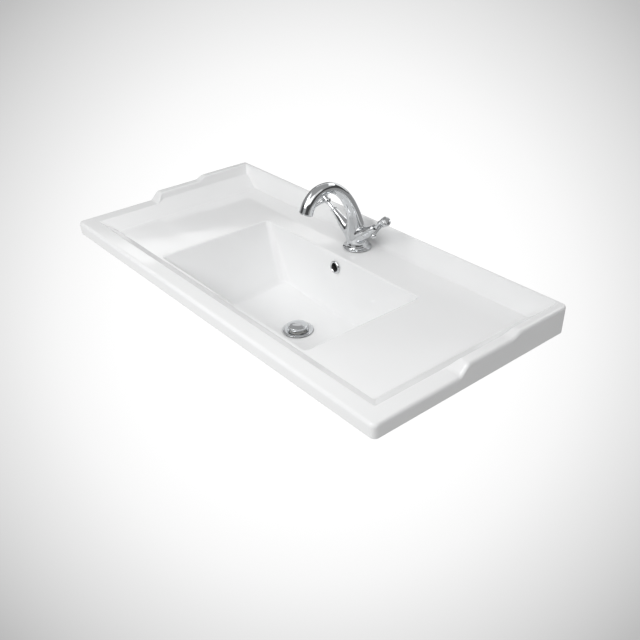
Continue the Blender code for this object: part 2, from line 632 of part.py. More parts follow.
def flat_plate(name, outline, hole, low, thickness, look):
    """A flat outline with one round hole, as a filled 2D curve extruded both ways."""
    curve = bpy.data.curves.new(name, 'CURVE')
    curve.dimensions = '2D'
    curve.fill_mode = 'BOTH'
    curve.extrude = thickness / 2
    for points in (outline, hole):
        spline = curve.splines.new('POLY')
        spline.points.add(len(points) - 1)
        for point, (x, y) in zip(spline.points, points):
            point.co = (x, y, 0.0, 1.0)
        spline.use_cyclic_u = True
    guide = bpy.data.objects.new(name + "_outline", curve)
    CUTTERS.objects.link(guide)
    evaluated = guide.evaluated_get(bpy.context.evaluated_depsgraph_get())
    mesh = bpy.data.meshes.new_from_object(evaluated)
    shape = bmesh.new()
    shape.from_mesh(mesh)
    bmesh.ops.remove_doubles(shape, verts=shape.verts, dist=0.00001)
    bmesh.ops.recalc_face_normals(shape, faces=shape.faces)
    shape.to_mesh(mesh)
    shape.free()
    mesh.materials.clear()
    bpy.data.objects.remove(guide, do_unlink=True)
    item = add_object(name, mesh, look)
    item.location = (0.0, TAP_Y, low + thickness / 2)
    return item


def make_fixings():
    """The stud, its horseshoe washers and nut, and the two inlet tails below the ledge."""
    for name, x, y, radius in FIXINGS:
        look = (STEEL, 0.35, 1.0) if name == "fixing_stud" else (BRASS, 0.35, 1.0)
        bottom = -0.0720 if name == "fixing_stud" else -0.0600
        item = cylinder(name, radius, bottom, FIXING_TOP_Z, look, sides=16)
        item.location = (x, y, 0.0)
    stud_y = FIXINGS[0][2] - TAP_Y
    outer, slot, slot_end = 0.0260, 0.0150, 0.0045
    opening = asin(slot / outer)
    start, sweep = -pi / 2 + opening, 2 * (pi - opening)
    outline = [(outer * cos(start + sweep * i / 24), outer * sin(start + sweep * i / 24))
               for i in range(25)]
    outline += [(-slot, slot_end - 0.004), (-slot + 0.004, slot_end), (slot - 0.004, slot_end),
                (slot, slot_end - 0.004)]
    hole = [(0.0046 * cos(i * pi / 6), stud_y + 0.0046 * sin(i * pi / 6)) for i in range(12)]
    low = DECK_UNDER_Z - GAP - 0.0020
    flat_plate("horseshoe_gasket", outline, hole, low, 0.0020, (RUBBER, 0.7, 0.0))
    low -= GAP + 0.0020
    flat_plate("horseshoe_plate", outline, hole, low, 0.0020, (STEEL, 0.35, 1.0))
    nut = cylinder("stud_nut", 0.0078, low - GAP - 0.0065, low - GAP, (BRASS, 0.35, 1.0), sides=6)
    nut.location = (0.0, FIXINGS[0][2], 0.0)
    bore = cylinder("nut_bore", 0.0043, -0.08, 0.0, collection=CUTTERS, sides=16)
    bore.location = nut.location
    boolean(nut, bore)


clear_scene()
PARTS = new_collection("vanity_basin")
CUTTERS = new_collection("cutters")
make_basin()
make_waste()
make_tap_body()
make_tap_base()
for valve_side, valve_hand in SIDES:
    make_valve(valve_side, valve_hand)
make_fixings()
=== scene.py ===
"""Wide white vanity basin with a swan-neck mixer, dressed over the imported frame.

Metres, in the frame's own axes: the origin is the centre of the flat back face, +X is the
user's right, +Y points into the wall and +Z is up.
"""
import json
from math import cos, pi, radians, sin, tan

import bmesh
import bpy
import numpy as np
from mathutils import Matrix, Vector


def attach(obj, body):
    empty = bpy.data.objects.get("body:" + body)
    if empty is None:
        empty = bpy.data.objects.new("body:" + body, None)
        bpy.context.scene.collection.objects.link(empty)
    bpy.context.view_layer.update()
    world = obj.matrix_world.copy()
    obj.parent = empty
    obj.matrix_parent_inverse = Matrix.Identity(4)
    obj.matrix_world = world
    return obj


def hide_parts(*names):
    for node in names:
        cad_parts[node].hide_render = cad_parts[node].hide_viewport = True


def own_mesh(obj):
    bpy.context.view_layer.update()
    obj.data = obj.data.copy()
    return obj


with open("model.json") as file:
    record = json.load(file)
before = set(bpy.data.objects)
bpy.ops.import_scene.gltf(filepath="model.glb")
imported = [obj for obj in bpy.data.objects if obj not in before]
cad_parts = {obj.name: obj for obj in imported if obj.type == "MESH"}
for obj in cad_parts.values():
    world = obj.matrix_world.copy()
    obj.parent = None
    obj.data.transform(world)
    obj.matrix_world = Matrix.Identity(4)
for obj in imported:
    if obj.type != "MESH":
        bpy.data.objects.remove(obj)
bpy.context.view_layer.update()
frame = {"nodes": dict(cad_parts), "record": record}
NODES = frame["nodes"]
GAP = 0.0003


# ---------------------------------------------------------------- materials

class Graph:
    """Short calls that add nodes to a node tree."""

    def __init__(self, tree):
        self.nodes = tree.nodes
        self.links = tree.links

    def add(self, kind, links=None, **values):
        node = self.nodes.new(kind)
        for key, value in values.items():
            setattr(node, key, value)
        for key, value in (links or {}).items():
            socket = node.inputs[key]
            if isinstance(value, bpy.types.NodeSocket):
                self.links.new(value, socket)
            else:
                socket.default_value = value
        return node

    def maths(self, operation, *values):
        return self.add("ShaderNodeMath", dict(enumerate(values)), operation=operation).outputs[0]

    def dot(self, first, second):
        return self.add("ShaderNodeVectorMath", {0: first, 1: second},
                        operation='DOT_PRODUCT').outputs["Value"]

    def ramp(self, value, *stops):
        """A grey ramp through (position, linear grey) stops."""
        node = self.add("ShaderNodeValToRGB", {0: value})
        marks = node.color_ramp.elements
        while len(marks) < len(stops):
            marks.new(0.5)
        for mark, (position, grey) in zip(marks, stops):
            mark.position, mark.color = position, rgb(grey, grey, grey)
        return node.outputs[0]


class Shader(Graph):
    """A Principled material and short calls for the nodes that feed it."""

    def __init__(self, name, **constants):
        self.material = bpy.data.materials.new(name)
        self.material.use_nodes = True
        super().__init__(self.material.node_tree)
        self.bsdf = self.nodes["Principled BSDF"]
        for key, value in constants.items():
            self.bsdf.inputs[key.replace("_", " ")].default_value = value
        self.where = self.nodes.new("ShaderNodeTexCoord").outputs["Object"]

    def noise(self, scale, detail=2.0, roughness=0.5, stretch=None):
        vector = self.where
        if stretch:
            vector = self.add("ShaderNodeMapping", {"Vector": vector, "Scale": stretch}).outputs[0]
        return self.add("ShaderNodeTexNoise", {
            "Vector": vector, "Scale": scale, "Detail": detail, "Roughness": roughness}).outputs[0]

    def spread(self, value, low, high, start=0.3, end=0.7):
        return self.add("ShaderNodeMapRange", {
            "Value": value, "From Min": start, "From Max": end, "To Min": low,
            "To Max": high}).outputs[0]

    def mix(self, factor, first, second):
        node = self.add("ShaderNodeMix", data_type='RGBA')
        for socket, value in ((0, factor), (6, first), (7, second)):
            if isinstance(value, bpy.types.NodeSocket):
                self.links.new(value, node.inputs[socket])
            else:
                node.inputs[socket].default_value = value
        return node.outputs[2]

    def bump(self, height, strength, distance, normal=None):
        links = {"Height": height, "Strength": strength, "Distance": distance}
        if normal is not None:
            links["Normal"] = normal
        return self.add("ShaderNodeBump", links).outputs[0]

    def set(self, **sockets):
        for key, value in sockets.items():
            self.links.new(value, self.bsdf.inputs[key.replace("_", " ")])
        return self.material


def rgb(r, g, b):
    return (r, g, b, 1.0)


def glaze():
    """Poured white glaze: almost even, with faint pooling and a slow swell in the surface."""
    s = Shader("white_glaze", IOR=1.52, Coat_Weight=0.0)
    tone = s.spread(s.noise(6.0, 3.0), 0.0, 1.0)
    base = s.mix(tone, rgb(0.890, 0.895, 0.897), rgb(0.908, 0.911, 0.913))
    swell = s.bump(s.noise(9.0, 1.0), 0.10, 0.004)
    peel = s.bump(s.noise(420.0, 2.0), 0.012, 0.0006, swell)
    return s.set(Base_Color=base, Roughness=s.spread(s.noise(30.0, 2.0), 0.035, 0.075),
                 Normal=peel)


def bisque():
    """Bare fired clay where the basin stood in the kiln and was never glazed."""
    s = Shader("bare_clay", IOR=1.45)
    cloud = s.mix(s.spread(s.noise(14.0, 4.0), 0.0, 1.0), rgb(0.66, 0.64, 0.60),
                  rgb(0.76, 0.745, 0.71))
    specks = s.spread(s.noise(900.0, 1.0), 0.0, 1.0, 0.66, 0.74)
    base = s.mix(specks, cloud, rgb(0.50, 0.46, 0.40))
    grain = s.bump(s.noise(1500.0, 3.0), 0.25, 0.0004)
    return s.set(Base_Color=base, Roughness=s.spread(s.noise(60.0, 3.0), 0.62, 0.85),
                 Normal=grain)


def chrome():
    """Bright plating with the slightest drift in polish."""
    s = Shader("polished_chrome", Metallic=1.0)
    base = s.mix(s.spread(s.noise(25.0, 3.0), 0.0, 1.0), rgb(0.665, 0.680, 0.695),
                 rgb(0.715, 0.728, 0.740))
    wave = s.bump(s.noise(70.0, 1.0), 0.03, 0.0015)
    return s.set(Base_Color=base, Roughness=s.spread(s.noise(55.0, 4.0), 0.02, 0.06),
                 Normal=wave)


def satin_steel():
    """Drawn wire and cut thread."""
    s = Shader("zinc_steel", Metallic=1.0)
    base = s.mix(s.spread(s.noise(160.0, 4.0), 0.0, 1.0), rgb(0.42, 0.43, 0.44),
                 rgb(0.60, 0.60, 0.61))
    lines = s.bump(s.noise(1200.0, 2.0, stretch=(1.0, 1.0, 0.15)), 0.2, 0.0003)
    return s.set(Base_Color=base, Roughness=s.spread(s.noise(90.0, 3.0), 0.22, 0.42),
                 Normal=lines)


def brass():
    """Machined brass with a little tarnish in the low places."""
    s = Shader("machined_brass", Metallic=1.0)
    tarnish = s.spread(s.noise(110.0, 5.0), 0.0, 1.0, 0.45, 0.75)
    base = s.mix(tarnish, rgb(0.76, 0.57, 0.26), rgb(0.40, 0.27, 0.11))
    rings = s.bump(s.noise(700.0, 2.0, stretch=(0.2, 0.2, 3.0)), 0.25, 0.0003)
    return s.set(Base_Color=base, Roughness=s.spread(s.noise(140.0, 3.0), 0.20, 0.45),
                 Normal=rings)


def rubber():
    """Black moulded rubber with a dusty bloom."""
    s = Shader("black_rubber", IOR=1.5)
    base = s.mix(s.spread(s.noise(80.0, 5.0), 0.0, 1.0), rgb(0.018, 0.018, 0.019),
                 rgb(0.055, 0.055, 0.055))
    grain = s.bump(s.noise(1800.0, 2.0), 0.15, 0.0003)
    return s.set(Base_Color=base, Roughness=s.spread(s.noise(120.0, 3.0), 0.55, 0.85),
                 Normal=grain)


def plastic():
    """White moulded plastic."""
    s = Shader("white_plastic", IOR=1.49)
    base = s.mix(s.spread(s.noise(40.0, 3.0), 0.0, 1.0), rgb(0.76, 0.76, 0.74),
                 rgb(0.82, 0.82, 0.80))
    grain = s.bump(s.noise(1300.0, 2.0), 0.06, 0.0003)
    return s.set(Base_Color=base, Roughness=s.spread(s.noise(200.0, 3.0), 0.28, 0.42),
                 Normal=grain)


LOOKS = {"glazed_ceramic": glaze(), "chrome_plate": chrome(), "brass": brass(),
         "black_rubber": rubber(), "white_plastic": plastic(), "steel": satin_steel()}
BARE_CLAY = bisque()


# ---------------------------------------------------------------- mesh helpers

SHARP_ANGLE = radians(32.0)


def piece(name, mesh, slot, body, nodes=(), extra=()):
    """A visible object in its slot's material, riding on a body."""
    item = bpy.data.objects.new(name, mesh)
    bpy.context.scene.collection.objects.link(item)
    mesh.materials.clear()
    for look in (LOOKS[slot], *extra):
        mesh.materials.append(look)
    finish_shading(mesh)
    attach(item, body)
    if nodes:
        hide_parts(*nodes)
    return item


def finish_shading(mesh):
    mesh.shade_smooth()
    mesh.set_sharp_from_angle(angle=SHARP_ANGLE)


def raw_mesh(name, points, faces):
    mesh = bpy.data.meshes.new(name)
    mesh.from_pydata([tuple(p) for p in points], [], faces)
    mesh.update()
    return mesh


def outward(mesh):
    shape = bmesh.new()
    shape.from_mesh(mesh)
    bmesh.ops.recalc_face_normals(shape, faces=shape.faces)
    shape.to_mesh(mesh)
    shape.free()
    return mesh


def solid(name, mesh):
    """A helper object for Booleans, removed once they are applied."""
    item = bpy.data.objects.new(name, mesh)
    bpy.context.scene.collection.objects.link(item)
    return item


def combine(item, cutter, operation='DIFFERENCE'):
    """Applies one exact Boolean and removes the cutter."""
    modifier = item.modifiers.new("cut", 'BOOLEAN')
    modifier.solver = 'EXACT'
    modifier.operation = operation
    modifier.object = cutter
    graph = bpy.context.evaluated_depsgraph_get()
    mesh = bpy.data.meshes.new_from_object(item.evaluated_get(graph))
    item.modifiers.clear()
    item.data = mesh
    bpy.data.objects.remove(cutter)


def release(item):
    """The mesh of a helper object, which is removed."""
    mesh = item.data
    bpy.data.objects.remove(item)
    return mesh


def around(steps):
    """The cosine and sine of every step round a circle."""
    turns = [2 * pi * k / steps for k in range(steps)]
    return [(cos(a), sin(a)) for a in turns]


def axis_matrix(origin, direction):
    """A frame whose local Z is a direction."""
    turn = Vector(direction).normalized().to_track_quat('Z', 'Y')
    return Matrix.Translation(Vector(origin)) @ turn.to_matrix().to_4x4()


def rounded(profile, steps=5):
    """A profile with its corners rounded: points are (r, s) or (r, s, corner radius)."""
    out = []
    count = len(profile)
    for i, point in enumerate(profile):
        here = Vector(point[:2])
        radius = point[2] if len(point) > 2 else 0.0
        if radius <= 0.0 or i in (0, count - 1):
            out.append(here)
            continue
        back, ahead = Vector(profile[i - 1][:2]) - here, Vector(profile[i + 1][:2]) - here
        half = back.angle(ahead) / 2
        reach = min(radius / max(abs(tan(half)), 1e-6), 0.49 * back.length, 0.49 * ahead.length)
        start, end = here + back.normalized() * reach, here + ahead.normalized() * reach
        weight = sin(half)
        for k in range(steps + 1):
            t = k / steps
            a, b, c = (1 - t) ** 2, 2 * t * (1 - t) * weight, t * t
            out.append((start * a + here * b + end * c) / (a + b + c))
    return out


def lathe(name, profile, place=Matrix(), steps=64, ring=False, corner=5):
    """A turned solid: a ring's profile closes on itself, any other starts and ends at r = 0."""
    if ring:
        first = profile[0][:2]
        middle = tuple((a + b) / 2 for a, b in zip(profile[-1][:2], first))
        profile = [middle, *profile, middle]
    line = rounded(profile, corner)
    if ring:
        line = line[:-1]
    points, faces, rows = [], [], []
    for r, s in line:
        if r < 1e-7:
            rows.append([len(points)])
            points.append(place @ Vector((0.0, 0.0, s)))
        else:
            rows.append([len(points) + k for k in range(steps)])
            points += [place @ Vector((r * c, r * d, s)) for c, d in around(steps)]
    pairs = list(zip(rows, rows[1:])) + ([(rows[-1], rows[0])] if ring else [])
    for a, b in pairs:
        for k in range(steps):
            n = (k + 1) % steps
            corners = [a[k % len(a)], a[n % len(a)], b[n % len(b)], b[k % len(b)]]
            face = list(dict.fromkeys(corners))
            if len(face) > 2:
                faces.append(face)
    return outward(raw_mesh(name, points, faces))


def rod(radius, start, end, place, steps=48):
    """A plain round cutter."""
    return lathe("cutter", [(0.0, start), (radius, start), (radius, end), (0.0, end)], place, steps)


def tube(name, stations, steps=32):
    """A closed tube with flat ends along points (x, y, z, radius)."""
    spots = [Vector(p[:3]) for p in stations]
    points, faces = [], []
    side = Vector((1.0, 0.0, 0.0))
    for i, (spot, station) in enumerate(zip(spots, stations)):
        along = spots[min(i + 1, len(spots) - 1)] - spots[max(i - 1, 0)]
        along.normalize()
        side = (side - along * side.dot(along)).normalized()
        up = along.cross(side)
        points += [spot + (side * c + up * d) * station[3] for c, d in around(steps)]
    for i in range(len(spots) - 1):
        for k in range(steps):
            n = (k + 1) % steps
            a, b = i * steps, (i + 1) * steps
            faces.append((a + k, a + n, b + n, b + k))
    faces.append(tuple(range(steps))[::-1])
    faces.append(tuple((len(spots) - 1) * steps + k for k in range(steps)))
    return outward(raw_mesh(name, points, faces))


def through(points, per_span=8):
    """A Catmull-Rom curve through points of any dimension, as a numpy array."""
    p = np.array(points, float)
    p = np.vstack([2 * p[0] - p[1], p, 2 * p[-1] - p[-2]])
    out = []
    for i in range(1, len(p) - 2):
        for k in range(per_span):
            t = k / per_span
            out.append(0.5 * (2 * p[i] + (p[i + 1] - p[i - 1]) * t
                              + (2 * p[i - 1] - 5 * p[i] + 4 * p[i + 1] - p[i + 2]) * t * t
                              + (3 * p[i] - p[i - 1] - 3 * p[i + 1] + p[i + 2]) * t ** 3))
    out.append(p[-2])
    return np.array(out)


# ---------------------------------------------------------------- basin

WIDTH, DEPTH = 1.000, 0.470
APRON_BOTTOM_Z, RIM_FRONT_Z = -0.0276, 0.0014
# The ogee steps of the side rims, as (start, end, rise)
RIM_STEPS = ((-0.2820, -0.2569, 0.0185), (-0.1542, -0.1282, 0.0077))
RIM_FLARE = (0.74, 0.45)
CERAMIC = 0.009
DECK_Z, DECK_UNDER_Z = -0.0193, -0.0266
TRAY_HALF_X, TRAY_SLOPE, UPSTAND_FOOT_Z = 0.430, 0.62, 0.0065
TRAY_FRONT_Y, TRAY_BACK_Y = -0.4055, -0.0205
RIM_INNER_FRONT_Y, RIM_INNER_BACK_Y = -0.4355, -0.0069
RIM_CORNER_R = 0.010
# The bowl's mouth and the foot of its walls, as (half width, front, back)
BOWL = (0.2463, -0.4000, -0.1153)
FLOOR = (0.1808, -0.3400, -0.1232)
BOWL_CORNER_R, FLOOR_CORNER_R = 0.010, 0.022
FLOOR_EDGE_Z = -0.1464
# How far the floor rises towards the sides, towards front and back, and into the corners
FLOOR_RISE = (0.004, 0.002, 0.009)
# The lean of the bowl's back wall, in radians
BACK_WALL_LEAN = 0.0622
WASTE_Y, WASTE_Z = -0.2262, -0.1622
BORE_R, SEAT_R, BOSS_R, BOSS_BOTTOM_Z = 0.0235, 0.0345, 0.036, -0.1920
OVERFLOW_Y, OVERFLOW_Z, OVERFLOW_R = -0.1178, -0.0469, 0.0120
DUCT_R, DUCT_WALL, DUCT_EXIT_Z = 0.0075, 0.0050, -0.1790
TAP_Y, TAP_HOLE_R = -0.0552, 0.0175
CAVITY_STEP_Y, CAVITY_STEP = -0.115, 0.055

CORNER_POINTS = 11
ACROSS = np.linspace(-0.94, 0.94, 27)
SIDE_RUNS, RUN_POINTS = ((-0.392, -0.296), (-0.245, -0.165), (-0.118, -0.038)), 9
STEP_MARGIN, STEP_POINTS = 0.003, 15
# Round the waste: half of the front's arc, a corner's arc and half of a side's arc
FRONT_ARC, CORNER_ARC, SIDE_ARC, ARC_GAP = radians(32.0), radians(22.0), radians(33.0), 0.008
# Between fillets: the spans that get guard rings and the spans that are split up
GUARDED_SPAN, GUARD_REACH, SPLIT_SPAN, RING_SPACING = 0.006, 0.0012, 0.030, 0.012


def side_stations():
    """Where the side points lie along Y, close together over the ogee steps."""
    runs = [np.linspace(start, end, RUN_POINTS) for start, end in SIDE_RUNS]
    steps = [np.linspace(start - STEP_MARGIN, end + STEP_MARGIN, STEP_POINTS)
             for start, end, _ in RIM_STEPS]
    return np.sort(np.concatenate(runs + steps))


SIDE_Y = side_stations()


def ease(t):
    """A smooth step from 0 to 1."""
    t = np.clip(t, 0.0, 1.0)
    return t * t * (3.0 - 2.0 * t)


def rim_z(y):
    return RIM_FRONT_Z + sum(rise * ease((y - a) / (b - a)) for a, b, rise in RIM_STEPS)


def slope_x(z):
    """Where the tray's side slope passes a height."""
    return TRAY_HALF_X + (z - DECK_Z) / TRAY_SLOPE


def rim_inner_x(y):
    """The side rim's inner edge, which moves out as the rim steps up."""
    raised, first_rise = rim_z(y) - RIM_FRONT_Z, RIM_STEPS[0][2]
    return (slope_x(RIM_FRONT_Z) + RIM_FLARE[0] * np.minimum(raised, first_rise)
            + RIM_FLARE[1] * np.maximum(raised - first_rise, 0.0))


def upstand_foot_z(y):
    """How high the foot of the side rims' inner face lies above the tray."""
    start, end, _ = RIM_STEPS[0]
    foot = RIM_FRONT_Z - 0.0008
    return foot + (UPSTAND_FOOT_Z - foot) * ease((y - start) / (end - start))


def cavity_z(y):
    """The roof of the hollow under the rim, which drops to the deck's underside at the back."""
    closed = ease((y - CAVITY_STEP_Y) / CAVITY_STEP)
    return (RIM_FRONT_Z - CERAMIC) * (1.0 - closed) + DECK_UNDER_Z * closed


def soft(t):
    """The size of t, rounded off near zero."""
    return np.sqrt(t * t + 0.01) - 0.1


def floor_z(x, y):
    """The bowl's floor: almost level by the waste and rising into the four corners."""
    reach = np.where(y > WASTE_Y, FLOOR[2] - WASTE_Y, WASTE_Y - FLOOR[1])
    u, v = soft(x / FLOOR[0]), soft((y - WASTE_Y) / reach)
    return WASTE_Z + FLOOR_RISE[0] * u + FLOOR_RISE[1] * v + FLOOR_RISE[2] * u * v


def loop(half_x, front, back, radius, z, follow=False):
    """One loop of the basin as an (n, 3) array, anticlockwise from the front's left end.

    With follow the side points keep the stations in SIDE_Y, and otherwise the same proportions.
    """
    wide = half_x if callable(half_x) else lambda y: half_x + 0.0 * y
    high = z if callable(z) else lambda y: z + 0.0 * y
    low, top = front + radius, back - radius
    side = SIDE_Y
    if not follow:
        share = (SIDE_Y - SIDE_Y[0]) / (SIDE_Y[-1] - SIDE_Y[0])
        side = low + (top - low) * (0.03 + 0.94 * share)
    a = np.linspace(0.0, pi / 2, CORNER_POINTS)
    x = np.concatenate([wide(low) - radius + radius * np.sin(a), wide(side),
                        wide(top) - radius + radius * np.cos(a)])
    y = np.concatenate([low - radius * np.cos(a), side, top + radius * np.sin(a)])
    bottom, upper = (wide(low) - radius) * ACROSS, (wide(top) - radius) * ACROSS
    xs = np.concatenate([bottom, x, -upper, -x[::-1]])
    ys = np.concatenate([0 * bottom + front, y, 0 * upper + back, y[::-1]])
    return np.stack([xs, ys, high(ys)], 1)


def circle(radius, z):
    """A round loop round the waste, with loop()'s points in loop()'s order."""
    across = FRONT_ARC * ACROSS
    corner = FRONT_ARC + ARC_GAP + np.linspace(0.0, CORNER_ARC, CORNER_POINTS)
    share = (SIDE_Y - SIDE_Y[0]) / (SIDE_Y[-1] - SIDE_Y[0])
    side = SIDE_ARC * (2.0 * share - 1.0)
    half = np.concatenate([-pi / 2 + corner, side, pi / 2 - corner[::-1]])
    a = np.concatenate([-pi / 2 + across, half, pi / 2 + across, pi - half[::-1]])
    return np.stack([radius * np.cos(a), WASTE_Y + radius * np.sin(a), 0 * a + z], 1)


def on_floor(points, lift=0.0):
    """A loop dropped on to the bowl's floor, raised by lift."""
    out = points.copy()
    out[:, 2] = floor_z(out[:, 0], out[:, 1]) + lift
    return out


def wall(t, grow=0.0):
    """loop()'s outline for the bowl's wall at a share t of the way down, grown outwards."""
    half, front, back = [a + (b - a) * t for a, b in zip(BOWL, FLOOR)]
    radius = BOWL_CORNER_R + (FLOOR_CORNER_R - BOWL_CORNER_R) * t
    return half + grow, front - grow, back + grow, radius + grow


def bowl_foot(top, foot):
    """Where the walls between two loops meet the bowl's floor."""
    out = top.copy()
    for _ in range(3):
        share = (floor_z(out[:, 0], out[:, 1]) - top[:, 2]) / (foot[:, 2] - top[:, 2])
        out = top + (foot - top) * share[:, None]
    return out


def fillet_arc(here, back, ahead, radius, steps):
    """One ring rounded in the section, as the rings of its arc."""
    back, ahead = back - here, ahead - here
    back_length = np.linalg.norm(back, axis=1)
    ahead_length = np.linalg.norm(ahead, axis=1)
    u, v = back / back_length[:, None], ahead / ahead_length[:, None]
    half = np.arccos(np.clip((u * v).sum(1), -1.0, 1.0)) / 2
    reach = np.minimum(radius / np.maximum(np.tan(half), 1e-4),
                       0.47 * np.minimum(back_length, ahead_length))
    start, end = here + u * reach[:, None], here + v * reach[:, None]
    arc = []
    for k in range(steps + 1):
        t = k / steps
        a, b, c = (1 - t) ** 2, 2 * t * (1 - t) * np.sin(half), t * t
        total = (a + b + c)[:, None]
        arc.append((start * a + here * b[:, None] + end * c) / total)
    return arc


def fillet_rings(rings):
    """Rounds every ring's corner in the section, column by column.

    Each ring is (points, fillet radius or array, segments); the list closes on itself. Guard
    rings near each fillet keep the flat areas flat when shaded smooth. Every ring made comes
    with the number of the ring it belongs to.
    """
    count = len(rings)
    arcs = []
    for i, (here, radius, steps) in enumerate(rings):
        back, ahead = rings[i - 1][0], rings[(i + 1) % count][0]
        arcs.append(fillet_arc(here, back, ahead, radius, steps) if steps else [here])
    made = []
    for i, arc in enumerate(arcs):
        made += [(ring, i) for ring in arc]
        nearest = arcs[(i + 1) % count][0]
        span = nearest - arc[-1]
        length = np.linalg.norm(span, axis=1)
        if length.mean() > GUARDED_SPAN:
            near = np.minimum(GUARD_REACH / np.maximum(length, 1e-6), 0.2)[:, None]
            made.append((arc[-1] + span * near, i))
            if length.mean() > SPLIT_SPAN:
                parts = int(length.mean() / RING_SPACING)
                made += [(arc[-1] + span * share, i) for share in np.arange(1, parts) / parts]
            made.append((nearest - span * near, i))
    return made


def basin_rings():
    """The section's corners: over the rim, down the bowl to the waste, and back underneath."""
    half, front = WIDTH / 2, -DEPTH
    edge = loop(half, front, 0.0, RIM_CORNER_R, rim_z, True)
    edge_radius = np.where(edge[:, 1] > -0.004, 0.0030, 0.0065)
    mouth = loop(*BOWL, BOWL_CORNER_R, DECK_Z)
    foot = loop(*wall(1.0), FLOOR_EDGE_Z)
    rings = [
        (loop(half - 0.0015, front + 0.0013, 0.0, RIM_CORNER_R, APRON_BOTTOM_Z, True), 0.0010, 3),
        (edge, edge_radius, 8),
        (loop(rim_inner_x, RIM_INNER_FRONT_Y, RIM_INNER_BACK_Y, 0.003, rim_z, True), 0.0050, 6),
        (loop(lambda y: slope_x(upstand_foot_z(y)), RIM_INNER_FRONT_Y + 0.0014, -0.0130, 0.004,
              upstand_foot_z, True), 0.0050, 5),
        (loop(TRAY_HALF_X, TRAY_FRONT_Y, TRAY_BACK_Y, 0.006, DECK_Z, True), 0.0100, 6),
        (mouth, 0.0045, 8),
        (bowl_foot(mouth, foot), 0.0130, 10),
    ]
    inner_foot, ring = rings[-1][0], circle(BOSS_R, WASTE_Z)
    rings += [(on_floor(inner_foot * (1 - t) + ring * t), 0.0, 0) for t in (0.25, 0.5, 0.75, 1.0)]
    rings += [
        (circle(SEAT_R, WASTE_Z), 0.0, 0),
        (circle(BORE_R, WASTE_Z - 0.002), 0.0010, 3),
        (circle(BORE_R, BOSS_BOTTOM_Z), 0.0006, 2),
        (circle(BOSS_R, BOSS_BOTTOM_Z), 0.0015, 3),
        (circle(BOSS_R + 0.003, WASTE_Z - CERAMIC - 0.003), 0.0040, 4),
    ]
    boss = rings[-1][0]
    under = loop(FLOOR[0] - 0.006, FLOOR[1] + 0.006, FLOOR[2] - 0.006, FLOOR_CORNER_R, FLOOR_EDGE_Z)
    skirt = loop(FLOOR[0] + 0.008, FLOOR[1] - 0.008, FLOOR[2] + 0.008, 0.028, FLOOR_EDGE_Z)
    rings += [
        (on_floor((boss + under) / 2, -CERAMIC - 0.001), 0.0, 0),
        (on_floor(under, -CERAMIC), 0.0100, 4),
        (on_floor(skirt, -0.0015), 0.0100, 5),
        (loop(*wall(0.55, CERAMIC + 0.001), -0.090), 0.0, 0),
        (loop(*wall(0.10, CERAMIC + 0.001), -0.034), 0.0040, 3),
        (loop(BOWL[0] + 0.013, BOWL[1] - 0.008, BOWL[2] + 0.013, 0.02, DECK_UNDER_Z), 0.0040, 3),
        (loop(TRAY_HALF_X + 0.005, TRAY_FRONT_Y - 0.0065, TRAY_BACK_Y - 0.004, 0.008,
              DECK_UNDER_Z, True), 0.0030, 3),
        (loop(TRAY_HALF_X + 0.036, RIM_INNER_FRONT_Y - 0.008, TRAY_BACK_Y - 0.0025, 0.006,
              cavity_z, True), 0.0030, 3),
        (loop(half - CERAMIC, front + CERAMIC, TRAY_BACK_Y - 0.001, 0.005,
              lambda y: cavity_z(y) - 0.0004, True), 0.0030, 3),
        (loop(half - CERAMIC - 0.0005, front + CERAMIC + 0.0005, TRAY_BACK_Y, 0.005,
              APRON_BOTTOM_Z, True), 0.0010, 3),
    ]
    return rings


def duct_path():
    """The overflow channel's centre line, from behind its mouth down to the waste."""
    behind = DUCT_R + DUCT_WALL + 0.0045
    return [(0.0, OVERFLOW_Y + behind, OVERFLOW_Z + 0.002), (0.0, OVERFLOW_Y + behind, -0.075),
            (0.0, FLOOR[2] + behind, -0.140), (0.0, FLOOR[2] + behind - 0.006, -0.160),
            (0.0, FLOOR[2] - 0.006, -0.1745), (0.0, -0.160, DUCT_EXIT_Z),
            (0.0, WASTE_Y + 0.022, DUCT_EXIT_Z)]


# The last of basin_rings() that is glazed, at the foot of the bore; the underside is bare clay
LAST_GLAZED_RING = 13


def make_basin():
    rings = fillet_rings(basin_rings())
    size = len(rings[0][0])
    faces, bare = [], []
    for i, (_, source) in enumerate(rings):
        a, b = i * size, (i + 1) % len(rings) * size
        for j in range(size):
            k = (j + 1) % size
            faces.append((a + j, b + j, b + k, a + k))
            bare.append(source > LAST_GLAZED_RING)
    mesh = raw_mesh("basin_shell", np.vstack([r for r, _ in rings]), faces)
    for face, unglazed in zip(mesh.polygons, bare):
        if unglazed:
            face.material_index = 1
    outward(mesh)
    for look in (LOOKS["glazed_ceramic"], BARE_CLAY):
        mesh.materials.append(look)
    shell = solid("basin_shell", mesh)
    path = duct_path()
    housing = [(*p, DUCT_R + DUCT_WALL) for p in path]
    housing[0] = (0.0, path[0][1], OVERFLOW_Z + 0.014, housing[0][3])
    housing[-1] = (0.0, WASTE_Y + 0.030, path[-1][2], housing[0][3])
    outside = tube("duct", through(housing, 5))
    outside.materials.append(BARE_CLAY)
    combine(shell, solid("duct", outside), 'UNION')
    combine(shell, solid("channel", tube("channel", through([(*p, DUCT_R) for p in path], 5), 24)))
    back = axis_matrix((0.0, OVERFLOW_Y, OVERFLOW_Z), (0.0, 1.0, 0.0))
    combine(shell, solid("hole", rod(OVERFLOW_R, -0.014, 0.0135, back)))
    up = Matrix.Translation((0.0, TAP_Y, 0.0))
    combine(shell, solid("hole", rod(TAP_HOLE_R, -0.05, 0.02, up)))
    piece("basin_shell", release(shell), "glazed_ceramic", "basin", ["basin"], [BARE_CLAY])


make_basin()

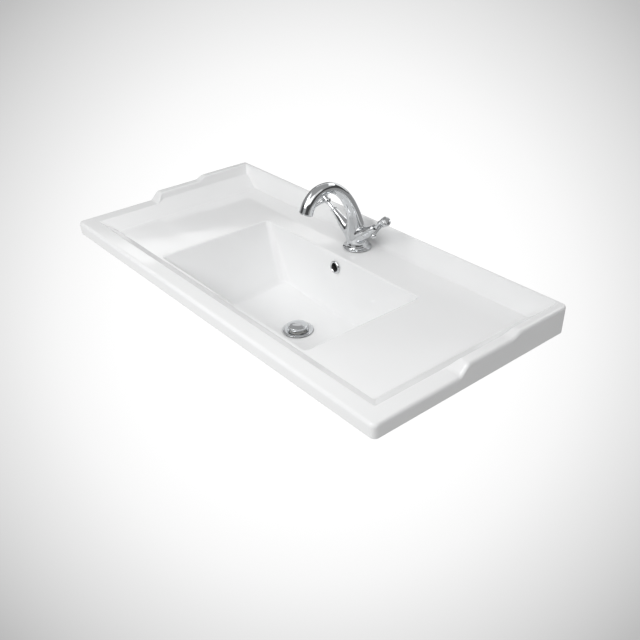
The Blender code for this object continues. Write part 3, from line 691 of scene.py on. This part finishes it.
overflow = axis_matrix((0.0, OVERFLOW_Y - 0.0010, OVERFLOW_Z),
                       (0.0, -cos(BACK_WALL_LEAN), sin(BACK_WALL_LEAN)))
ring = lathe("overflow_trim", [
    (0.0098, 0.0020, 0.0005), (0.0108, 0.0030, 0.0006), (0.0128, 0.0030, 0.0010),
    (0.0143, 0.0012, 0.0006), (0.0143, 0.0004, 0.0002), (0.0115, 0.0003, 0.0001),
    (0.0115, -0.0070), (0.0098, -0.0070)], overflow, ring=True)
piece("overflow_trim", ring, "chrome_plate", "basin", ["overflow_ring"])
# Painted shade: a black sleeve inside the overflow hole stands in for the shade deep in the hole
shade_sleeve = lathe("overflow_shade_sleeve", [
    (0.0084, 0.0012, 0.0003), (0.0095, 0.0012, 0.0003), (0.0095, -0.0100, 0.0003),
    (0.0084, -0.0100, 0.0003)], overflow, ring=True)
piece("overflow_shade_sleeve", shade_sleeve, "black_rubber", "basin")


# ---------------------------------------------------------------- waste

AT_WASTE = Matrix.Translation((0.0, WASTE_Y, WASTE_Z))
TAIL_END = BOSS_BOTTOM_Z - WASTE_Z - 0.050
WINDOW_R = 0.0065

flange = lathe("waste_body", [
    (0.0228, 0.0016, 0.0006), (0.0242, 0.0036, 0.0012), (0.0290, 0.0044, 0.0040),
    (0.0335, 0.0032, 0.0010), (0.0335, 0.0018, 0.0003), (0.0235, 0.0006, 0.0004),
    (0.0215, -0.0030, 0.0004), (0.0215, TAIL_END, 0.0006), (0.0190, TAIL_END, 0.0006),
    (0.0190, -0.0015, 0.0010)], AT_WASTE, 96, ring=True)
holder = solid("waste_body", flange)
window = axis_matrix((0.0, WASTE_Y, DUCT_EXIT_Z), (0.0, 1.0, 0.0))
combine(holder, solid("window", rod(WINDOW_R, -0.03, 0.03, window, 32)))
piece("waste_body", release(holder), "chrome_plate", "basin", ["waste_flange"])

# The underside of the raised plug's dome, above the waste's seat
DOME = 0.0105
plug = lathe("plug_dome", [
    (0.0, DOME + 0.0070), (0.0105, DOME + 0.0066, 0.0250), (0.0170, DOME + 0.0050, 0.0120),
    (0.0215, DOME + 0.0026, 0.0012), (0.0215, DOME - 0.0016, 0.0004),
    (0.0202, DOME - 0.0016, 0.0004), (0.0202, DOME), (0.0, DOME)], AT_WASTE, 96, corner=6)
piece("plug_dome", plug, "chrome_plate", "plug", ["plug_cap"])

# The coil under the plug's collar, wound between two fixed heights.
COIL_R, COIL_WIRE_R, COIL_TURNS, COIL_STEPS = 0.0052, 0.0006, 5, 24
COIL_LOW, COIL_HIGH = -0.1888, -0.1711
coil_share = np.linspace(0.0, 1.0, COIL_TURNS * COIL_STEPS + 1)
coil = tube("spring", [
    (COIL_R * cos(2 * pi * COIL_TURNS * t), WASTE_Y + COIL_R * sin(2 * pi * COIL_TURNS * t),
     COIL_LOW + (COIL_HIGH - COIL_LOW) * t, COIL_WIRE_R) for t in coil_share], 12)
spring = piece("spring", coil, "steel", "basin", ["waste_spring"])
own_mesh(spring)


# ---------------------------------------------------------------- tap

BASE_R, BASE_BORE_R, BASE_TOP_Z = 0.0312, 0.0205, -0.0095
# The spout from its mouth to its foot, as (y, z, radius)
SPOUT = ((-.1945, .0985, .0148), (-.1850, .1180, .0140), (-.1670, .1345, .0128),
         (-.1430, .1396, .0121), (-.1190, .1340, .0117), (-.0970, .1170, .0119),
         (-.0795, .0930, .0130), (-.0665, .0640, .0150), (-.0605, .0380, .0186),
         (-.0573, .0140, .0226), (-.0558, .0010, .0232), (-.0555, -.0045, .0238),
         (-.0555, -.0095, .0248), (-.0555, -.0160, .0268))
VALVE_AT = Vector((0.0, -0.0600, 0.0030))
RISE, SWEEP = radians(36.5), radians(4.5)
# Each branch as (distance along the valve's axis, radius)
BRANCH = ((0.0080, 0.0165), (0.0300, 0.0142), (0.0440, 0.0124))
BRANCH_END = BRANCH[-1][0]
VALVE_BORE_R, VALVE_BORE = 0.0085, (0.030, 0.055)
MOUTH_BORE_R, MOUTH_BORE_DEPTH = 0.0105, 0.012
VOXEL, QUICK_VOXEL = 0.0007, 0.0009
# The holes for the stud and the two inlet tails, as (x, y, radius)
FIXINGS = ((0.0, -0.0430, 0.0040), (-0.0085, -0.0620, 0.0050), (0.0085, -0.0620, 0.0050))


def valve_axis(side):
    """The direction of one valve, outwards and up: side is -1 for hot and 1 for cold."""
    return Vector((side * cos(RISE) * cos(SWEEP), -cos(RISE) * sin(SWEEP), sin(RISE)))


def smooth_min(a, b, k):
    """The smaller of two fields, blended over a distance k where they are close."""
    h = np.clip(0.5 + 0.5 * (b - a) / k, 0.0, 1.0)
    return b + (a - b) * h - k * h * (1.0 - h)


class Casting:
    """The tap body as a distance field: a tapering spout with two branches blended into it."""

    def __init__(self):
        path = through([(0.0, y, z, r) for y, z, r in SPOUT], 12)
        self.a, self.b = path[:-1], path[1:]
        self.mouth = Vector(path[0][:3])
        self.inward = (Vector(path[1][:3]) - self.mouth).normalized()

    def spout(self, p):
        """How far every point lies outside the nearest span of the spout."""
        best = np.full(len(p), 1e9)
        for a, b in zip(self.a, self.b):
            along = b[:3] - a[:3]
            t = np.clip(((p - a[:3]) @ along) / (along @ along), 0.0, 1.0)
            away = np.linalg.norm(p - (a[:3] + t[:, None] * along), axis=1)
            best = np.minimum(best, away - (a[3] + (b[3] - a[3]) * t))
        return best

    def branch(self, p, side):
        """How far every point lies outside one branch, taken as endless."""
        axis = np.array(valve_axis(side))
        away = p - np.array(VALVE_AT)
        s = away @ axis
        radius = np.interp(s, [b[0] for b in BRANCH], [b[1] for b in BRANCH])
        return np.linalg.norm(away - s[:, None] * axis, axis=1) - radius

    def bores(self):
        """Every drilled hole as (origin, direction, radius, start, end) along its axis."""
        made = [(self.mouth, self.inward, MOUTH_BORE_R, -0.02, MOUTH_BORE_DEPTH)]
        made += [(VALVE_AT, valve_axis(side), VALVE_BORE_R, *VALVE_BORE) for side in (-1.0, 1.0)]
        made += [(Vector((x, y, 0.0)), Vector((0.0, 0.0, 1.0)), r + GAP, -0.05, 0.0035 + GAP)
                 for x, y, r in FIXINGS]
        return made

    def ends(self, p):
        """Half spaces that cut the foot flat and, close to it, the spout's mouth."""
        away = p - np.array(self.mouth)
        mouth = np.where(np.linalg.norm(away, axis=1) < 0.030, away @ np.array(self.inward), 1.0)
        return -smooth_min(mouth, p[:, 2] - BASE_TOP_Z - GAP, 0.0008)

    def field(self, p):
        """How far every point lies outside the casting, with its edges and joins rounded."""
        inside = self.spout(p)
        for side in (-1.0, 1.0):
            arm = self.branch(p, side)
            s = (p - np.array(VALVE_AT)) @ np.array(valve_axis(side))
            arm = -smooth_min(-arm, -(s - BRANCH_END), 0.0008)
            arm = np.maximum(arm, -s)
            inside = smooth_min(inside, arm, 0.0045)
        inside = -smooth_min(-inside, -self.ends(p), 0.0010)
        for origin, direction, radius, start, end in self.bores():
            away = p - np.array(origin)
            s = away @ np.array(direction)
            hole = np.linalg.norm(away - s[:, None] * np.array(direction), axis=1) - radius
            hole = -smooth_min(-hole, np.minimum(s - start, end - s), 0.0004)
            inside = -smooth_min(-inside, hole, 0.0005)
        return inside

    def settle(self, p, rounds=4):
        """Moves points on to the surface."""
        step = 2e-5
        for _ in range(rounds):
            value = self.field(p)
            slope = np.stack([(self.field(p + step * e) - self.field(p - step * e)) / (2 * step)
                              for e in np.eye(3)], 1)
            size = np.maximum((slope * slope).sum(1), 0.2)
            p = p - slope * np.clip(value / size, -0.002, 0.002)[:, None]
        return p


def make_tap_body():
    """A rough union of tubes, remeshed evenly and settled on to the casting's surface."""
    casting = Casting()
    path = through([(0.0, y, z, r) for y, z, r in SPOUT], 8)
    rough = solid("tap_casting", tube("tap_casting", path, 40))
    for side in (-1.0, 1.0):
        axis = valve_axis(side)
        ends = [(*(VALVE_AT + axis * s), r) for s, r in BRANCH]
        combine(rough, solid("arm", tube("arm", ends, 40)), 'UNION')
    foot = Matrix.Translation((0.0, TAP_Y, 0.0))
    combine(rough, solid("foot", rod(0.06, -0.05, BASE_TOP_Z + GAP, foot)))
    for origin, direction, radius, start, end in casting.bores():
        combine(rough, solid("bore", rod(radius, start, end, axis_matrix(origin, direction))))
    remesh = rough.modifiers.new("even", 'REMESH')
    remesh.mode = 'VOXEL'
    remesh.voxel_size = VOXEL
    graph = bpy.context.evaluated_depsgraph_get()
    mesh = bpy.data.meshes.new_from_object(rough.evaluated_get(graph))
    rough.modifiers.clear()
    flat = np.empty(len(mesh.vertices) * 3)
    mesh.vertices.foreach_get("co", flat)
    mesh.vertices.foreach_set("co", casting.settle(flat.reshape(-1, 3)).ravel())
    mesh.update()
    bpy.data.objects.remove(rough)
    piece("tap_casting", mesh, "chrome_plate", "basin", ["tap_body"])
    outlet = axis_matrix(casting.mouth, casting.inward)
    ring = lathe("aerator_trim", [
        (0.0080, 0.0080), (0.0102, 0.0080, 0.0002), (0.0102, -0.0003, 0.0001),
        (0.0124, -0.0003, 0.0003), (0.0124, -0.0012, 0.0005), (0.0112, -0.0020, 0.0005),
        (0.0092, -0.0020, 0.0005), (0.0080, -0.0008, 0.0005)], outlet, 64, ring=True)
    piece("aerator_trim", ring, "chrome_plate", "basin", ["aerator_ring"])


make_tap_body()

GASKET_H = 0.0012
base_low_z = DECK_Z + GASKET_H + 3 * GAP
base = lathe("tap_foot", [
    (BASE_BORE_R, BASE_TOP_Z, 0.0003), (0.0251, BASE_TOP_Z, 0.0003),
    (0.0260, BASE_TOP_Z - 0.0024, 0.0030), (0.0282, BASE_TOP_Z - 0.0046, 0.0030),
    (BASE_R, BASE_TOP_Z - 0.0060, 0.0007), (BASE_R, base_low_z, 0.0008),
    (BASE_BORE_R, base_low_z)],
    Matrix.Translation((0.0, TAP_Y, 0.0)), 96, ring=True)
piece("tap_foot", base, "chrome_plate", "basin", ["tap_base_ring"])

# Distances along the valve's axis
BONNET_END, HUB_START, HUB_END, CAP_END, LEVER_AT = 0.0838, 0.1000, 0.1205, 0.1305, 0.1105
SPINDLE_R, LEVER_REACH, BALL_R = 0.0042, 0.0350, 0.0056
LEVER_AIM = Vector((0.0, -0.87, -0.60))


def turned(name, profile, place, steps, body, node, ring=False):
    """A chromed lathe piece in one node's place."""
    piece(name, lathe(name, profile, place, steps, ring), "chrome_plate", body, [node])


def bell_profile():
    start = BRANCH_END + GAP
    bore, top = VALVE_BORE_R + GAP, BONNET_END
    bead = [(0.0046, top), (0.0062, top, 0.0006), (0.0077, top - 0.0012, 0.0007),
            (0.0077, top - 0.0028, 0.0007), (0.0062, top - 0.0040, 0.0005),
            (0.0060, top - 0.0052, 0.0005), (0.0071, top - 0.0064, 0.0005)]
    curve = through([(0.0072, 0.0765), (0.0076, 0.0725), (0.0085, 0.0650), (0.0099, 0.0575),
                     (0.0112, 0.0515), (0.0121, 0.0465)], 6)
    foot = [(0.0124, start, 0.0003), (bore, start), (bore, 0.0553), (0.0046, 0.0600)]
    return bead + [(r, s) for r, s in curve[1:]] + foot


def hub_profile():
    """A grooved collar that narrows towards the bell."""
    bore = SPINDLE_R + GAP
    hub = [(bore, HUB_END), (0.0076, HUB_END, 0.0003)]
    for i in range(3):
        top = HUB_END - 0.0006 - i * 0.0022
        hub += [(0.0078, top - 0.0002, 0.0003), (0.0089, top - 0.0006, 0.0004),
                (0.0089, top - 0.0014, 0.0004), (0.0078, top - 0.0019, 0.0003)]
    hub += [(0.0084, HUB_START + 0.0075, 0.0010), (0.0082, HUB_START + 0.0050, 0.0030),
            (0.0068, HUB_START + 0.0018, 0.0025), (0.0056, HUB_START, 0.0005), (bore, HUB_START)]
    return hub


def cap_profile():
    """A thick disc with a shallow dished face."""
    low = HUB_END + GAP
    return [(0.0, CAP_END - 0.0002), (0.0066, CAP_END - 0.0008, 0.0100),
            (0.0072, CAP_END - 0.0016, 0.0004), (0.0080, CAP_END - 0.0006, 0.0006),
            (0.0094, CAP_END - 0.0012, 0.0014), (0.0104, CAP_END - 0.0032, 0.0018),
            (0.0104, low + 0.0014, 0.0010), (0.0094, low, 0.0005), (0.0, low)]


def lever_profile():
    """A ball on a bar that swells where it enters the hub."""
    ball = [(0.0, LEVER_REACH + BALL_R)]
    ball += [(BALL_R * sin(radians(a)), LEVER_REACH + BALL_R * cos(radians(a)))
             for a in range(10, 141, 10)]
    return ball + [(0.0030, LEVER_REACH - 0.0058, 0.0010), (0.0028, LEVER_REACH - 0.0080, 0.0010),
                   (0.0034, 0.0160, 0.0060), (0.0044, 0.0108, 0.0010), (0.0044, 0.0092),
                   (0.0, 0.0092)]


def make_valve(side, hand):
    axis = valve_axis(side)
    place = axis_matrix(VALVE_AT, axis)
    reach = (LEVER_AIM - axis * LEVER_AIM.dot(axis)).normalized()
    arm = axis_matrix(VALVE_AT + axis * LEVER_AT, reach)
    moving = hand + "_lever"
    turned(hand + "_bell", bell_profile(), place, 72, "basin", hand + "_bonnet", ring=True)
    turned(hand + "_collar", hub_profile(), place, 72, moving, hand + "_hub", ring=True)
    turned(hand + "_cap", cap_profile(), place, 72, moving, hand + "_index_cap")
    turned(hand + "_handle", lever_profile(), arm, 56, moving, hand + "_lever")


make_valve(-1.0, "hot")
make_valve(1.0, "cold")


# ---------------------------------------------------------------- carried-over nodes

SLOT_OF = {part["node"]: part["material_slot"] for part in frame["record"]["subparts"]}
for name, item in NODES.items():
    if item.hide_render:
        continue
    item.data.materials.clear()
    item.data.materials.append(LOOKS[SLOT_OF[name]])


# ---------------------------------------------------------------- camera, floor and light

CAMERA_AT = Vector((1.18913, -1.12480, 0.76089))
AZIMUTH, ELEVATION, ROLL = radians(51.076), radians(31.118), radians(-1.457)
LENS, SENSOR = 45.68, 36.0
BACK = Vector((sin(AZIMUTH) * cos(ELEVATION), -cos(AZIMUTH) * cos(ELEVATION), sin(ELEVATION)))
level = Vector((cos(AZIMUTH), sin(AZIMUTH), 0.0))
over = BACK.cross(level)
right = level * cos(ROLL) + over * sin(ROLL)
up = over * cos(ROLL) - level * sin(ROLL)
camera_data = bpy.data.cameras.new("camera")
camera_data.lens = LENS
camera_data.sensor_width = SENSOR
camera_data.clip_end = 100.0
camera = bpy.data.objects.new("camera", camera_data)
bpy.context.scene.collection.objects.link(camera)
camera.matrix_world = Matrix((
    (right.x, up.x, BACK.x, CAMERA_AT.x), (right.y, up.y, BACK.y, CAMERA_AT.y),
    (right.z, up.z, BACK.z, CAMERA_AT.z), (0.0, 0.0, 0.0, 1.0)))
bpy.context.scene.camera = camera
bpy.context.scene.view_settings.view_transform = 'Standard'


FLOOR_Z, FLOOR_SIZE = -1.5, 60.0
# The painted pool of light's brightness outwards from its middle, over a reach given as a squared
# slope
PAINTED_POOL_REACH = 0.34
PAINTED_POOL = ((0.0, 1.0), (0.08, 1.0), (0.16, 0.97), (0.30, 0.89), (0.44, 0.78), (0.88, 0.47),
        (1.0, 0.43))
PAINTED_POOL_EDGE = (0.92, 1.15)
# Beyond the painted pool the floor's glow is painted dimmer in one direction, between two distances
# from the origin
PAINTED_LIT_SIDE, PAINTED_DIM_SIDE = 0.72, 0.28
PAINTED_DIM_TOWARDS, PAINTED_DIM_FROM, PAINTED_DIM_TO = (0.45, 0.89, 0.0), -2.4, 2.8


def make_painted_light_floor():
    """A pale studio floor, far below, glowing with a painted pool of light that fades outwards and
    painted shade towards one side.
    """
    size = FLOOR_SIZE
    mesh = raw_mesh("floor", [(-size, -size, 0), (size, -size, 0), (size, size, 0),
                              (-size, size, 0)], [(0, 1, 2, 3)])
    item = bpy.data.objects.new("floor", mesh)
    bpy.context.scene.collection.objects.link(item)
    item.location.z = FLOOR_Z
    s = Shader("floor_painted_light", Roughness=0.9)
    s.bsdf.inputs["Base Color"].default_value = rgb(0.05, 0.05, 0.05)
    s.bsdf.inputs["Emission Strength"].default_value = 1.0
    # Painted light: the emitted colour paints a pool of light round the view's middle and shade
    # towards one side
    spot = s.add("ShaderNodeNewGeometry").outputs["Position"]
    away = s.add("ShaderNodeVectorMath", {0: spot, 1: CAMERA_AT}, operation='SUBTRACT').outputs[0]
    along = s.dot(away, -BACK)
    slope = s.maths('DIVIDE', s.dot(away, away), s.maths('MULTIPLY', along, along))
    reach = s.maths('DIVIDE', s.maths('SUBTRACT', slope, 1.0), PAINTED_POOL_REACH)
    side = s.spread(s.dot(spot, PAINTED_DIM_TOWARDS), PAINTED_LIT_SIDE, PAINTED_DIM_SIDE, PAINTED_DIM_FROM, PAINTED_DIM_TO)
    outside = s.spread(reach, 0.0, 1.0, *PAINTED_POOL_EDGE)
    mesh.materials.append(s.set(Emission_Color=s.mix(outside, s.ramp(reach, *PAINTED_POOL), side)))


# Softboxes as (azimuth from the front towards +X, elevation, half width, half height, strength)
SOFTBOXES = ((335, 55, 15, 9, 1.6), (45, 40, 25, 12, 1.2), (90, 36, 25, 12, 0.5),
             (10, 12, 22, 12, 0.4), (180, 36, 18, 9, 1.5), (200, 12, 22, 12, 1.0),
             (285, 10, 20, 10, 0.3), (226, 40, 18, 7, 0.4), (240, 25.3, 25, 0.9, 1.3))
BOX_EDGE = 0.15
# The room's grey against the sine of the elevation
HORIZON = ((0.0, 0.08), (0.405, 0.08), (0.425, 0.40), (1.0, 0.40))


def make_world():
    """A grey room, darker near the floor, with a few softboxes at a distance."""
    world = bpy.data.worlds.new("studio")
    bpy.context.scene.world = world
    world.use_nodes = True
    g = Graph(world.node_tree)
    look = g.add("ShaderNodeTexCoord").outputs["Generated"]
    total = g.ramp(g.dot(look, (0.0, 0.0, 1.0)), *HORIZON)
    for azimuth, elevation, half_width, half_height, strength in SOFTBOXES:
        turn = Matrix.Rotation(radians(azimuth), 3, 'Z') @ Matrix.Rotation(
            radians(-elevation), 3, 'X')
        facing = g.dot(look, turn @ Vector((0.0, -1.0, 0.0)))
        light = g.maths('GREATER_THAN', facing, 0.0)
        for axis, half in ((Vector((1.0, 0.0, 0.0)), half_width),
                           (Vector((0.0, 0.0, 1.0)), half_height)):
            offset = g.maths('ABSOLUTE', g.maths('DIVIDE', g.dot(look, turn @ axis), facing))
            edge = g.add("ShaderNodeMapRange", {
                "Value": offset, "From Min": (1.0 + BOX_EDGE) * tan(radians(half)),
                "From Max": (1.0 - BOX_EDGE) * tan(radians(half))},
                interpolation_type='SMOOTHSTEP')
            light = g.maths('MULTIPLY', light, edge.outputs[0])
        total = g.maths('MULTIPLY_ADD', light, strength, total)
    g.links.new(total, g.nodes["Background"].inputs["Color"])
    g.nodes["Background"].inputs["Strength"].default_value = 1.0


KEY_AT, KEY_TARGET, KEY_SIZE, KEY_WATTS = (0.10, -1.30, 0.95), (0.0, -0.22, -0.05), 0.75, 9.0


def area_light(name, at, target, size, power):
    data = bpy.data.lights.new(name, 'AREA')
    data.size = size
    data.energy = power
    item = bpy.data.objects.new(name, data)
    bpy.context.scene.collection.objects.link(item)
    item.location = at
    item.rotation_euler = (Vector(target) - Vector(at)).to_track_quat('-Z', 'Y').to_euler()


make_painted_light_floor()
make_world()
area_light("key", KEY_AT, KEY_TARGET, KEY_SIZE, KEY_WATTS)
